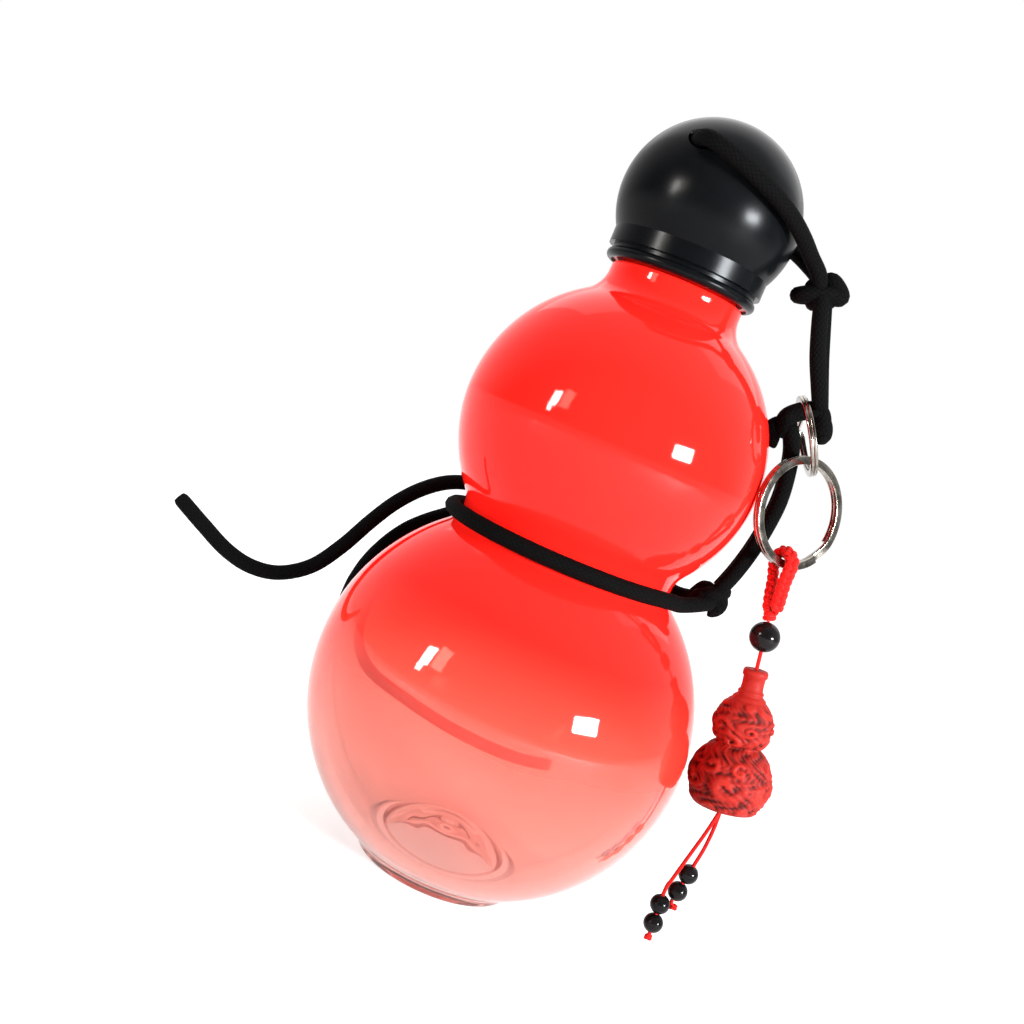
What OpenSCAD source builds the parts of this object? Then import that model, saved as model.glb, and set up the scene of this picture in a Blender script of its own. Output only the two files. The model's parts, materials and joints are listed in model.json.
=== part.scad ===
// Gourd-shaped glass water bottle: a ball screw cap, a knotted carrying cord that is tied
// round the waist, two split rings, and a hanging charm with two beaded strings.
// The origin is the centre of the foot, on the surface the bottle stands on, and +Z runs
// up the bottle's axis. The cord and the rings hang on the +X side, the tails lie on -X.

/* [Glass] */
// Radius of the lower bulb
lower_bulb_r = 49; // [46:0.5:51]
// Radius of the upper bulb
upper_bulb_r = 38.5; // [36:0.5:40]
// Distance between the centres of the two bulbs
bulb_spacing = 71.9; // [68:0.1:75]
// Radius of the round hollow of the waist, where the cord lies
waist_fillet_r = 6.5; // [4:0.5:9]
// Wall thickness of the bulbs
glass_wall = 2.4; // [1.8:0.1:3.5]
// Radius of the flat foot
foot_r = 20.5; // [18:0.5:23]
// Height of the foot below the round of the bulb
foot_drop = 2; // [1:0.25:3]
// Radius of the hollow under the bottom
punt_r = 16.3; // [13:0.1:17]
// Height of the hollow under the bottom
punt_h = 6.5; // [4:0.5:9]
// Thickness of the bottom
bottom_t = 5; // [3.5:0.5:7]

/* [Neck] */
// Outer radius of the neck below the cap
neck_r = 17.2; // [16.8:0.1:17.6]
// Height of the straight neck above the round of the shoulder
neck_length = 2.02; // [1.5:0.02:4]
// Radius of the round between shoulder and neck
shoulder_fillet_r = 8; // [5:0.5:10]
// Outer radius of the threaded mouth, without its thread
finish_r = 15.2; // [14.6:0.1:15.6]
// Height of the threaded mouth
finish_h = 16; // [15:0.5:18]
// Radius of the bore through the mouth
mouth_r = 12.2; // [10:0.1:12.6]
// Rise of the thread in one turn
thread_pitch = 4; // [3.5:0.1:5]
// Height of the thread above the glass
thread_depth = 1.1; // [0.8:0.1:1.3]
// Turns of thread
thread_turns = 1.25; // [1:0.25:1.5]

/* [Cap] */
// Radius of the ball of the cap
ball_r = 22.75; // [22:0.25:24]
// Height of the ball's centre above the cap's rim
ball_rise = 18.9; // [18:0.1:20]
// Outer radius of the skirt under the ball
skirt_r = 19.9; // [19.5:0.1:20.5]
// Height of the bead round the rim
rim_h = 2.7; // [2:0.1:3.5]
// Depth of the groove above the rim
groove_d = 0.9; // [0.4:0.1:1.2]
// Wall thickness of the ball
ball_wall = 2.6; // [2:0.1:3.5]
// Wall thickness of the threaded liner
liner_wall = 1.2; // [0.8:0.1:1.4]
// Thickness of the liner's top
liner_top = 1.6; // [1:0.1:2.5]
// Thickness of the sealing disc
seal_t = 1.8; // [1:0.1:2.5]
// Radius of the two cord holes in the ball
cord_hole_r = 2.7; // [2.5:0.1:3.2]

/* [Cord] */
// Diameter of the black braided cord
cord_d = 4; // [3.6:0.1:4.2]
// Radius of the round ends of the knots
knot_lobe_r = 2.45; // [2.2:0.05:2.7]

/* [Rings] */
// Outer diameter of the small split ring
small_ring_d = 20; // [18:0.5:22]
// Width of the small ring's band, seen through the ring
small_band = 1.7; // [1.2:0.1:2]
// Thickness of one of the small ring's two turns
small_turn_t = 0.85; // [0.7:0.05:1]
// Outer diameter of the large split ring
large_ring_d = 28; // [26:0.5:29]
// Width of the large ring's band, seen through the ring
large_band = 2; // [1.5:0.1:2.4]
// Thickness of one of the large ring's two turns
large_turn_t = 1; // [0.8:0.05:1.1]

/* [Charm] */
// Diameter of the braided loop's red cord
loop_cord_d = 3; // [2.6:0.1:3.2]
// Length of the braided loop below the large ring
loop_drop = 14.6; // [13:0.2:18]
// Diameter of the round bead above the charm
top_bead_d = 7.6; // [6:0.2:8.4]
// Diameter of the red strings
string_d = 1; // [0.8:0.1:1.2]
// Length of bare string between the round bead and the charm
string_gap = 4.4; // [3:0.2:7]
// Radius of the charm's lower bulb
charm_lower_r = 10.6; // [9.5:0.1:11.2]
// Radius of the charm's upper bulb
charm_upper_r = 7.7; // [7:0.1:8.4]
// Height of the lower bulb's centre above the charm's flat base
charm_lower_z = 7.5; // [7:0.25:9.5]
// Height of the upper bulb's centre above the charm's flat base
charm_upper_z = 21.6; // [21:0.2:24]
// Radius of the charm's neck
charm_neck_r = 2.8; // [2.4:0.1:3.4]
// Height of the charm
charm_h = 35.6; // [33:0.2:40]
// Diameter of the small beads
small_bead_d = 5; // [4:0.1:5.4]
// Diameter of the knots under the small beads
end_knot_d = 2.2; // [1.8:0.1:2.8]

/* [Fits] */
// Clearance between pieces that move past each other
run_gap = 0.35; // [0.3:0.05:0.5]
// Clearance between pieces of one assembly
fit_gap = 0.1; // [0.05:0.05:0.15]
// Clearance between the glass and the thread of the liner
thread_gap = 0.4; // [0.3:0.05:0.5]

/* [Hidden] */
$fn = 96;

cord_r = cord_d / 2;
string_r = string_d / 2;

// Heights of the glass, from the foot up
lower_z = sqrt(pow(lower_bulb_r, 2) - pow(foot_r, 2)) + foot_drop;
upper_z = lower_z + bulb_spacing;

// Centre of the waist's round hollow, which touches both bulbs
waist_a = lower_bulb_r + waist_fillet_r;
waist_b = upper_bulb_r + waist_fillet_r;
waist_rise = (pow(waist_a, 2) - pow(waist_b, 2) + pow(bulb_spacing, 2)) / (2 * bulb_spacing);
waist_z = lower_z + waist_rise;
waist_c = sqrt(pow(waist_a, 2) - pow(waist_rise, 2));
waist_r = waist_c - waist_fillet_r;

// Centre of the round between the shoulder and the neck
shoulder_c = neck_r + shoulder_fillet_r;
shoulder_z = upper_z + sqrt(pow(upper_bulb_r + shoulder_fillet_r, 2) - pow(shoulder_c, 2));
neck_wall = 3.2;
neck_top_z = shoulder_z + neck_length;
mouth_z = neck_top_z + finish_h;

// Round of the hollow under the bottom
punt_curve = (pow(punt_r, 2) + pow(punt_h, 2)) / (2 * punt_h);

// Thread: where the glass thread starts, and the widths at its foot and its crest
thread_lift = 5.5;
ridge_foot = 1.8;
ridge_crest = 1.0;
ridge_bite = 0.6;
ridge_steps = 24;

// Cap, from its rim up. The liner stands on the same axis inside the shell.
rim_z = neck_top_z + run_gap;
ball_z = rim_z + ball_rise;
skirt_top_z = ball_z - sqrt(pow(ball_r, 2) - pow(skirt_r, 2));
rim_r = skirt_r - 0.4;
liner_bore = finish_r + thread_depth + thread_gap;
liner_r = liner_bore + liner_wall;
shell_bore = liner_r + fit_gap;
seal_z = mouth_z + run_gap / 2;
liner_roof_z = seal_z + seal_t + fit_gap;
liner_low_z = rim_z + 0.8;
cap_top_z = liner_roof_z + liner_top;

// Cord holes: a point on each one's axis from the ball's centre, its bearing, and how far
// the cut runs inwards and outwards from that point
hole_at = [-8.4, 17, 11.95];
hole_bearing = 78.5;
hole_inwards = 14;
hole_outwards = 7;

// Waist cord: its own centre line and the bearing of the knot at the rear
waist_cord_r = waist_r + cord_r + run_gap + 0.1;
waist_cord_z = waist_z - 1.2;
leave_angle = 40;
leave_len = 17;
rear_knot_angle = 130;
rear_half = 5;

// Routes of the cord, in millimetres
cap_route = [[30.6, 3.6, 174.8], [26.6, 7.4, 177.2], [22.6, 12.2, 179.7], [18.2, 17.2, 181.9],
    [12.6, 21.3, 184.1], [6, 23.8, 186.3], [-0.4, 24.4, 188.4], [-5.2, 23.4, 189.9],
    [-7.7, 20.4, 190.6], [-8.8, 15, 190.7], [-9.8, 10.4, 190.7], [-11.9, 5.4, 190.8],
    [-12.6, 0, 190.8], [-11.9, -5.4, 190.8], [-9.8, -10.4, 190.7], [-8.8, -15, 190.7],
    [-7.7, -20.4, 190.6], [-5.2, -23.4, 189.9], [-0.4, -24.4, 188.4], [6, -23.8, 186.3],
    [12.6, -21.3, 184.1], [18.2, -17.2, 181.9], [22.6, -12.2, 179.7], [26.4, -7.6, 177.2],
    [30, -5.4, 174.6]];
upper_front_route = [[33, -4.2, 170], [35.2, -4.8, 163], [37.8, -5.2, 156], [41, -5.2, 149.5],
    [43.4, -5.2, 144.8]];
upper_rear_route = [[34.4, 0, 170], [36.9, -0.6, 163], [39.5, -0.9, 156], [42.2, -1, 149.5],
    [44.2, -1, 144.8]];
lower_front_route = [[38.6, -3.9, 138.6], [41.2, -3.9, 133.6], [43, -3, 128], [44.1, -2.4, 121],
    [43.9, -2.3, 114], [42.8, -2.5, 107], [41, -2.9, 100.5], [38.9, -3.1, 95]];
lower_rear_route = [[39, 0.3, 138.6], [41.6, 0.4, 133.6], [43.3, 1.3, 128], [44.3, 1.9, 121],
    [44.1, 2, 114], [43, 1.8, 107], [41.2, 1.4, 100.5], [39.2, 1.2, 95]];
tail_left_route = [[-24.2, 25, 91], [-30, 25.4, 92.6], [-36, 22, 91], [-41.5, 17, 87],
    [-46, 11.5, 81.5], [-49.5, 6.5, 75], [-53.5, 3, 66.5], [-58.5, 1, 59], [-65.5, 0, 54.2],
    [-73, 0, 52.8], [-80.5, 0, 54.2], [-88.5, 0, 57.8], [-97, 0, 62]];
tail_rear_route = [[-18.4, 28.2, 87], [-21.4, 30.4, 85.6], [-25.2, 30.9, 85.1],
    [-29, 29.2, 84.5], [-32.6, 26.2, 83], [-35.6, 22.7, 80.9], [-38.3, 19.3, 78.6],
    [-40.8, 16.6, 76], [-43, 14.4, 72.9], [-45, 13.2, 69.2], [-46.8, 13, 65],
    [-48.2, 13.4, 60], [-49, 14.6, 54], [-48.5, 17, 44.5], [-45.3, 22.3, 37],
    [-40, 28.4, 31.5], [-33, 34.2, 28], [-25, 38.9, 25], [-16, 42.4, 22.3],
    [-6.5, 44.3, 20.8], [3.5, 44.6, 20.4], [13, 43.2, 21.4], [22, 40.7, 24]];
long_string_route = [[-0.2, -0.9, 1], [-1.2, -0.9, -6], [-2.8, -0.9, -14], [-4.2, -0.9, -21],
    [-4.8, -0.9, -25], [-3.9, -0.9, -37.4]];
short_string_route = [[-0.2, 0.9, 1], [0.3, 0.9, -5], [0.2, 0.9, -11], [-0.4, 0.9, -16],
    [-1.9, 0.9, -26.9], [-0.9, 0.9, -28.4]];

// Lumps of the knots, each a list of points that the cord passes
knot_upper_lumps = [[27.2, -2.4, 168.4], [32.4, -3.2, 170.6], [37.3, -2.4, 171.8],
    [33.6, -2, 174.6], [32.8, 0.8, 170.4]];
knot_rear_lumps = [[-24.6, 23.4, 91.6], [-21.2, 25.3, 89.4], [-17.6, 28, 87.4]];
knot_lower_lumps = [[34.6, -4.6, 90.6], [38.2, -2.6, 93.2], [40.2, -2, 90.6],
    [36.4, 1.6, 93.4], [34.4, 4.8, 89.8]];

// Small ring: it hangs on the middle knot, tilted outwards, seen nearly edge on
strap_y = -3;
ring_tilt = 31;
hang_point = [40.4, strap_y, 142.6];
small_mid_r = (small_ring_d - small_band) / 2;
hang_drop = small_mid_r - small_band / 2 - knot_lobe_r - run_gap;
small_centre = hang_point + hang_drop * [sin(ring_tilt), 0, -cos(ring_tilt)];
small_low = small_centre + small_mid_r * [sin(ring_tilt), 0, -cos(ring_tilt)];

// Large ring: its band passes through the small ring, just above the small ring's band
large_turn = 36;
large_lean = 9;
large_mid_r = (large_ring_d - large_band) / 2;
large_up = turned([0, sin(large_lean), cos(large_lean)], large_turn);
ring_down = [sin(ring_tilt), 0, -cos(ring_tilt)];
link_lift = run_gap + 0.7;
large_top = small_low - small_band / 2 * ring_down + large_band / 2 * large_up
    + link_lift * unit(large_up - ring_down) + [0.3, -1.2, 0];
large_centre = large_top - large_mid_r * large_up;
large_low = large_centre - large_mid_r * large_up;

// Charm: it hangs from the large ring and leans on the glass, which sets its tilt
loop_arc_r = norm([large_turn_t, large_band / 2]) + loop_cord_d / 2 + run_gap;
bead_drop = loop_drop + top_bead_d / 2;
neck_drop = bead_drop + top_bead_d / 2 + string_gap;
charm_drop = neck_drop + charm_h;
lower_drop = charm_drop - charm_lower_z;
to_low = large_low - [0, 0, lower_z];
reach = lower_bulb_r + charm_lower_r + run_gap + 0.1;
lean_k = (pow(reach, 2) - to_low * to_low - pow(lower_drop, 2)) / (2 * lower_drop);
charm_tilt = atan2(to_low[2], to_low[0]) + asin(lean_k / norm([to_low[0], to_low[2]]));
charm_base = large_low + charm_drop * [sin(charm_tilt), 0, -cos(charm_tilt)];

// Places of the small beads along their strings, as route points
long_beads = [4.274, 4.681];
short_beads = [3.284, 3.748];

function turned(v, a) = [v[0] * cos(a) - v[1] * sin(a), v[0] * sin(a) + v[1] * cos(a), v[2]];
function unit(v) = v / norm(v);
// Keeps a cord's route outside the lower bulb
function off_bulb(p) = let (d = p - [0, 0, lower_z]) [0, 0, lower_z]
    + d * max(1, (lower_bulb_r + cord_r + run_gap + 0.25) / norm(d));
// Half of the waist loop, from the lower knot round to the rear knot
function waist_point(a) = [waist_cord_r * cos(a), waist_cord_r * sin(a), waist_cord_z];
function waist_route(way) = let (
        turn = (way < 0 ? 360 - rear_knot_angle : rear_knot_angle) - leave_angle - rear_half,
        steps = ceil(turn / 7),
        away = [sin(leave_angle), -way * cos(leave_angle), 0])
    concat([for (k = [3:-1:1]) waist_point(way * leave_angle) + leave_len * k / 3 * away],
        [for (i = [0:steps]) waist_point(way * (leave_angle + turn * i / steps))]);
function along(route, t) = let (i = min(floor(t), len(route) - 2))
    route[i] + (t - i) * (route[i + 1] - route[i]);

// Direction of a route at point i
function heading(route, i) = unit(route[min(i + 1, len(route) - 1)] - route[max(i - 1, 0)]);
// Side vectors that turn with the route as little as they can
function side_start(t) = unit(cross(t, abs(t[2]) < 0.9 ? [0, 0, 1] : [0, 1, 0]));
function sides(route, i) = i == 0 ? side_start(heading(route, 0)) :
    let (before = sides(route, i - 1), t = heading(route, i)) unit(before - (before * t) * t);

function tube_ring(centre, across, t, r, n) = let (up = cross(t, across))
    [for (k = [0:n - 1]) centre + r * (cos(360 * k / n) * across + sin(360 * k / n) * up)];
function tube_points(route, r, n) = [for (i = [0:len(route) - 1])
    each tube_ring(route[i], sides(route, i), heading(route, i), r, n)];
function quad(a, b, c, d) = [[a, b, c], [a, c, d]];
function tube_faces(m, n) = concat(
    [for (i = [0:m - 2]) for (k = [0:n - 1]) each quad(i * n + k, (i + 1) * n + k,
        (i + 1) * n + (k + 1) % n, i * n + (k + 1) % n)],
    [for (k = [1:n - 2]) [0, k, k + 1]],
    [for (k = [1:n - 2]) [(m - 1) * n, (m - 1) * n + k + 1, (m - 1) * n + k]]);

// A cord along a route, as one faceted tube
module tube(route, r, n = 10) {
    polyhedron(points = tube_points(route, r, n), faces = tube_faces(len(route), n));
}

// A straight round rod from one point to another
module rod(from, to, r) {
    d = to - from;
    translate(from)
        rotate([0, acos(d[2] / norm(d)), atan2(d[1], d[0])])
            cylinder(h = norm(d), r = r);
}

// Lumps joined by short rods, as the turns of a drawn-up knot
module lumps(points, r) {
    for (p = points) translate(p) sphere(r);
    for (i = [1:len(points) - 1]) rod(points[i - 1], points[i], r - 0.2);
}

function ridge_ring(a, root, crest, z) = [for (q = [[root, -ridge_foot], [crest, -ridge_crest],
    [crest, ridge_crest], [root, ridge_foot]]) [q[0] * cos(a), q[0] * sin(a), z + q[1] / 2]];

// A thread ridge that winds up from start_z, from just inside the wall to its crest
module thread_ridge(wall_r, height, start_z, start_a) {
    n = round(thread_turns * ridge_steps);
    way = sign(height);
    root = wall_r - way * ridge_bite;
    rings = [for (i = [0:n]) let (full = min(1, i / 3, (n - i) / 3))
        ridge_ring(start_a + i * 360 / ridge_steps, root,
            wall_r - way * ridge_bite / 2 + full * (height + way * ridge_bite / 2),
            start_z + thread_pitch * i / ridge_steps)];
    f = tube_faces(n + 1, 4);
    polyhedron(points = [for (ring = rings) each ring],
        faces = way > 0 ? [for (t = f) [t[2], t[1], t[0]]] : f);
}

// Half section of two bulbs that meet in a round waist and run up to the neck.
// inset draws the same outline inside the wall.
module bulbs_section(inset, neck_inset) {
    translate([0, lower_z]) circle(lower_bulb_r - inset);
    translate([0, upper_z]) circle(upper_bulb_r - inset);
    difference() {
        polygon([[0, lower_z], [waist_c, waist_z], [0, upper_z]]);
        translate([waist_c, waist_z]) circle(waist_fillet_r + inset);
    }
    difference() {
        polygon([[0, upper_z], [shoulder_c, shoulder_z], [0, shoulder_z]]);
        translate([shoulder_c, shoulder_z]) circle(shoulder_fillet_r + neck_inset);
    }
}

module glass_outside_section() {
    heel_z = foot_drop + 1.2;
    heel_r = sqrt(pow(lower_bulb_r, 2) - pow(lower_z - heel_z, 2)) - 0.05;
    bulbs_section(0, 0);
    polygon([[0, 0], [foot_r - 0.5, 0], [foot_r + 0.4, 0.5], [heel_r, heel_z], [0, heel_z]]);
    translate([0, shoulder_z]) square([neck_r, neck_top_z - shoulder_z - 0.8]);
    translate([0, shoulder_z]) square([neck_r - 0.8, neck_top_z - shoulder_z]);
    translate([neck_r - 0.8, neck_top_z - 0.8]) circle(0.8);
    translate([0, shoulder_z]) square([finish_r, mouth_z - 0.8 - shoulder_z]);
    translate([0, mouth_z - 0.9]) square([finish_r - 0.8, 0.9]);
    translate([finish_r - 0.8, mouth_z - 0.8]) circle(0.8);
}

module glass_inside_section() {
    difference() {
        union() {
            bulbs_section(glass_wall, neck_wall);
            polygon([[0, shoulder_z - 0.1], [neck_r - neck_wall, shoulder_z - 0.1],
                [neck_r - neck_wall, shoulder_z], [mouth_r, shoulder_z + 3],
                [mouth_r, mouth_z + 1], [0, mouth_z + 1]]);
        }
        translate([0, punt_h - punt_curve]) circle(punt_curve + bottom_t);
        square([lower_bulb_r, bottom_t]);
    }
}

module glass_body() color([0.93, 0.16, 0.12, 0.55]) {
    rotate_extrude() intersection() {
        difference() {
            glass_outside_section();
            glass_inside_section();
            translate([0, punt_h - punt_curve]) circle(punt_curve);
        }
        square([lower_bulb_r + 1, mouth_z + 1]);
    }
    thread_ridge(finish_r, thread_depth, neck_top_z + thread_lift, 0);
}

module cap_shell_section() {
    difference() {
        union() {
            translate([0, ball_z]) circle(ball_r);
            translate([0, rim_z + rim_h + 1]) square([skirt_r, skirt_top_z - rim_z - rim_h]);
            translate([0, rim_z + rim_h / 2]) square([rim_r - groove_d, rim_h / 2 + 1.1]);
            translate([0, rim_z]) square([rim_r - rim_h / 2, rim_h]);
            translate([rim_r - rim_h / 2, rim_z + rim_h / 2]) circle(rim_h / 2);
        }
        intersection() {
            translate([0, ball_z]) circle(ball_r - ball_wall);
            translate([0, cap_top_z]) square([ball_r, ball_r * 2]);
        }
        translate([0, rim_z - ball_r]) square([shell_bore, cap_top_z - rim_z + ball_r]);
    }
}

// Both cord holes: they slant towards the side where the knots hang
module cord_holes(r) {
    for (s = [-1, 1])
        translate([hole_at[0], s * hole_at[1], ball_z + hole_at[2]])
            rotate([0, 90, s * hole_bearing])
                translate([0, 0, -hole_inwards])
                    cylinder(h = hole_inwards + hole_outwards, r = r);
}

module cap_shell() color([0.09, 0.09, 0.1]) difference() {
    rotate_extrude() intersection() {
        cap_shell_section();
        translate([0, rim_z]) square([ball_r + 1, ball_z + ball_r - rim_z + 1]);
    }
    cord_holes(cord_hole_r);
}

module cap_liner() color([0.85, 0.85, 0.83]) {
    difference() {
        translate([0, 0, liner_low_z]) cylinder(h = cap_top_z - liner_low_z, r = liner_r);
        translate([0, 0, liner_low_z - 1])
            cylinder(h = liner_roof_z - liner_low_z + 1, r = liner_bore);
    }
    thread_ridge(liner_bore, -thread_depth, neck_top_z + thread_lift, 180);
}

module cap_seal() color([0.93, 0.93, 0.9])
    translate([0, 0, seal_z]) cylinder(h = seal_t, r = liner_bore - fit_gap);

module cap_cord() color([0.05, 0.05, 0.06]) tube(cap_route, cord_r);

module knot_upper() color([0.05, 0.05, 0.06]) lumps(knot_upper_lumps, knot_lobe_r);

module strap_upper_front() color([0.05, 0.05, 0.06]) tube(upper_front_route, cord_r, 8);

module strap_upper_rear() color([0.05, 0.05, 0.06]) tube(upper_rear_route, cord_r, 8);

// The middle knot: a turn on the outer side and one on the inner side of the small ring,
// joined over the top by the stretch that the ring hangs on
module knot_middle() color([0.05, 0.05, 0.06]) {
    slot = (small_turn_t + run_gap) + knot_lobe_r;
    across = [cos(ring_tilt), 0, sin(ring_tilt)];
    outer_top = hang_point + slot * across;
    inner_top = hang_point - slot * across;
    lumps([inner_top + [0.4, 0, -5.6], inner_top, outer_top, outer_top + 6.3 * ring_down],
        knot_lobe_r);
}

module strap_lower_front() color([0.05, 0.05, 0.06]) tube(lower_front_route, cord_r, 8);

module strap_lower_rear() color([0.05, 0.05, 0.06]) tube(lower_rear_route, cord_r, 8);

module knot_lower() color([0.05, 0.05, 0.06]) lumps(knot_lower_lumps, knot_lobe_r);

module waist_cord_front() color([0.05, 0.05, 0.06]) tube(waist_route(-1), cord_r);

module waist_cord_rear() color([0.05, 0.05, 0.06]) tube(waist_route(1), cord_r);

module knot_rear() color([0.05, 0.05, 0.06]) lumps(knot_rear_lumps, knot_lobe_r);

module tail_left() color([0.05, 0.05, 0.06]) tube(tail_left_route, cord_r);

module tail_rear() color([0.05, 0.05, 0.06])
    tube([for (p = tail_rear_route) off_bulb(p)], cord_r);

// A split ring: two flat turns on each other, about its own axis
module split_ring(d, band, turn_t) {
    difference() {
        cylinder(h = 2 * turn_t, r = d / 2, center = true);
        cylinder(h = 2 * turn_t + 1, r = d / 2 - band, center = true);
        rotate_extrude() translate([d / 2, 0]) circle(0.15, $fn = 24);
    }
}

module ring_small() color([0.75, 0.75, 0.76])
    translate(small_centre) rotate([0, 90 - ring_tilt, 0])
        split_ring(small_ring_d, small_band, small_turn_t);

module ring_large() color([0.72, 0.72, 0.73])
    translate(large_centre) rotate([0, 0, large_turn]) rotate([90 - large_lean, 0, 0])
        split_ring(large_ring_d, large_band, large_turn_t);

// Puts a piece of the charm in place: its own Z runs up the charm, 0 is the ring's band
module on_charm() {
    translate(large_low) rotate([0, -charm_tilt, 0]) children();
}

module charm_loop() color([0.85, 0.1, 0.08]) on_charm() rotate([0, 0, large_turn]) {
    low_z = -loop_drop + loop_cord_d / 2 + 0.4;
    rotate([90, 0, 90])
        rotate_extrude(angle = 180) translate([loop_arc_r, 0]) circle(loop_cord_d / 2);
    for (s = [-1, 1]) {
        rod([0, s * loop_arc_r, 0], [0, s * 0.6, low_z], loop_cord_d / 2);
        translate([0, s * loop_arc_r, 0]) sphere(loop_cord_d / 2 + 0.05);
    }
    translate([0, 0, low_z]) sphere(loop_cord_d / 2 + 0.3);
}

module charm_bead() color([0.04, 0.04, 0.05]) on_charm() translate([0, 0, -bead_drop])
    difference() {
        sphere(top_bead_d / 2);
        cylinder(h = top_bead_d + 1, r = string_r + fit_gap, center = true);
    }

module charm_string() color([0.85, 0.1, 0.08]) on_charm() {
    length = neck_drop - loop_drop + 2;
    translate([0, 0, -loop_drop - length]) cylinder(h = length, r = string_r);
}

module charm_section() {
    difference() {
        union() {
            translate([0, charm_lower_z]) circle(charm_lower_r);
            translate([0, charm_upper_z]) circle(charm_upper_r);
            polygon([[0, charm_lower_z], [charm_lower_r * 0.62, charm_lower_z],
                [charm_upper_r * 0.74, (charm_lower_z + charm_upper_z) / 2 + 1],
                [charm_upper_r * 0.7, charm_upper_z], [0, charm_upper_z]]);
            polygon([[0, charm_upper_z], [charm_upper_r * 0.82, charm_upper_z + 4.4],
                [charm_neck_r, charm_h - 6], [charm_neck_r, charm_h], [0, charm_h]]);
            translate([0, charm_h - 1.6]) square([charm_neck_r + 0.25, 1.2]);
            translate([0, charm_h - 6.4]) square([charm_neck_r + 0.25, 1.2]);
        }
        translate([0, charm_h - 2.5]) square([string_r + fit_gap, 3]);
        square([2.3, 1.5]);
    }
}

module charm_gourd() color([0.72, 0.1, 0.08]) on_charm() translate([0, 0, -charm_drop])
    rotate_extrude() intersection() {
        charm_section();
        square([charm_lower_r + 1, charm_h]);
    }

// Puts a piece of the strings in place: 0 is the middle of the charm's base
module at_tassel() {
    translate(charm_base) children();
}

module tassel_string_long() color([0.85, 0.1, 0.08]) at_tassel()
    tube(long_string_route, string_r, 8);

module tassel_string_short() color([0.85, 0.1, 0.08]) at_tassel()
    tube(short_string_route, string_r, 8);

module small_bead(route, t) {
    way = along(route, t + 0.05) - along(route, t - 0.05);
    translate(along(route, t)) rotate([0, acos(way[2] / norm(way)), atan2(way[1], way[0])])
        difference() {
            sphere(small_bead_d / 2);
            cylinder(h = small_bead_d + 1, r = string_r + 0.25, center = true);
        }
}

module tassel_beads() color([0.04, 0.04, 0.05]) at_tassel() {
    for (t = long_beads) small_bead(long_string_route, t);
    for (t = short_beads) small_bead(short_string_route, t);
}

module tassel_knots() color([0.8, 0.1, 0.08]) at_tassel() {
    for (route = [long_string_route, short_string_route])
        translate(route[len(route) - 1]) sphere(end_knot_d / 2);
}

glass_body();
cap_shell();
cap_liner();
cap_seal();
cap_cord();
knot_upper();
strap_upper_front();
strap_upper_rear();
knot_middle();
strap_lower_front();
strap_lower_rear();
knot_lower();
waist_cord_front();
waist_cord_rear();
knot_rear();
tail_left();
tail_rear();
ring_small();
ring_large();
charm_loop();
charm_bead();
charm_string();
charm_gourd();
tassel_string_long();
tassel_string_short();
tassel_beads();
tassel_knots();
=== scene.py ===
import json
import math

import bpy
import numpy as np
from mathutils import Matrix, Vector


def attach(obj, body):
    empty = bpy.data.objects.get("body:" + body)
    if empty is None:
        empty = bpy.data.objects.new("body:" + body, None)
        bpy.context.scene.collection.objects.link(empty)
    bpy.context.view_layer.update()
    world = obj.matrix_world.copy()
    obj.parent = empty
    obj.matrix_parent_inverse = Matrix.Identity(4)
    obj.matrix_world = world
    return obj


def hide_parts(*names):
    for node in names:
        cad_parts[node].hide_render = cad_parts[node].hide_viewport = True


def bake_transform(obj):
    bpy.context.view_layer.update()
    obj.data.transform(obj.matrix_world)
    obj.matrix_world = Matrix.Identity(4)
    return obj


bl_info = {
    "name": "Gourd Water Bottle",
    "version": (1, 0, 0),
    "blender": (4, 5, 0),
    "location": "View3D > Sidebar > Bottle",
    "description": "Builds the look of a gourd-shaped bottle with its cord, rings and charm",
    "category": "Object",
}

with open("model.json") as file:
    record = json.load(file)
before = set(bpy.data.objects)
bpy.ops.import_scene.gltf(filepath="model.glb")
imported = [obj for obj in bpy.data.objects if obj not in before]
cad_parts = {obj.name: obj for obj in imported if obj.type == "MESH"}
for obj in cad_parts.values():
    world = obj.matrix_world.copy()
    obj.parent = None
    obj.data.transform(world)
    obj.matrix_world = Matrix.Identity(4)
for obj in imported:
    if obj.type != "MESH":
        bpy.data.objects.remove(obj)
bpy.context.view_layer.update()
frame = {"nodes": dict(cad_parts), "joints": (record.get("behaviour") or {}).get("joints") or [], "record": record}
JOINTS = {j["name"]: j for j in frame["joints"]}
MM = 0.001

# Heights and radii of the glass, in millimetres from the middle of the foot
LOWER_Z, LOWER_R = 46.506, 49.0
UPPER_Z, UPPER_R = 118.406, 38.5
WAIST_C, WAIST_Z, WAIST_R = 34.73, 89.80, 6.5
SHOULDER_C, SHOULDER_Z, SHOULDER_R = 25.2, 157.49, 8.0
NECK_R, NECK_TOP = 17.2, 159.506
FINISH_R, MOUTH_R, MOUTH_Z = 15.2, 12.2, 175.506
WALL, PUNT_R, PUNT_H, BOTTOM_T = 2.4, 16.3, 6.5, 5.0
# Where the foot ends and where the shoulder begins
FOOT_HEIGHT, SHOULDER_HEIGHT = 12, 152
# Height and wavelength of the ripples in the hollow foot and on the floor inside
PUNT_RIPPLE, PUNT_WAVE = 0.04, 5.2
FLOOR_RIPPLE, FLOOR_WAVE = 0.03, 9
# Thread: turns, pitch, height above the neck and radius of its ridge
THREAD_TURNS, THREAD_PITCH, THREAD_START, THREAD_R = 1.25, 4, 5.5, 0.85

# Split rings: outer diameter, width of the band, thickness of one turn, in millimetres
SMALL_RING = (20.0, 1.7, 0.85)
LARGE_RING = (28.0, 2.0, 1.0)

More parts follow.
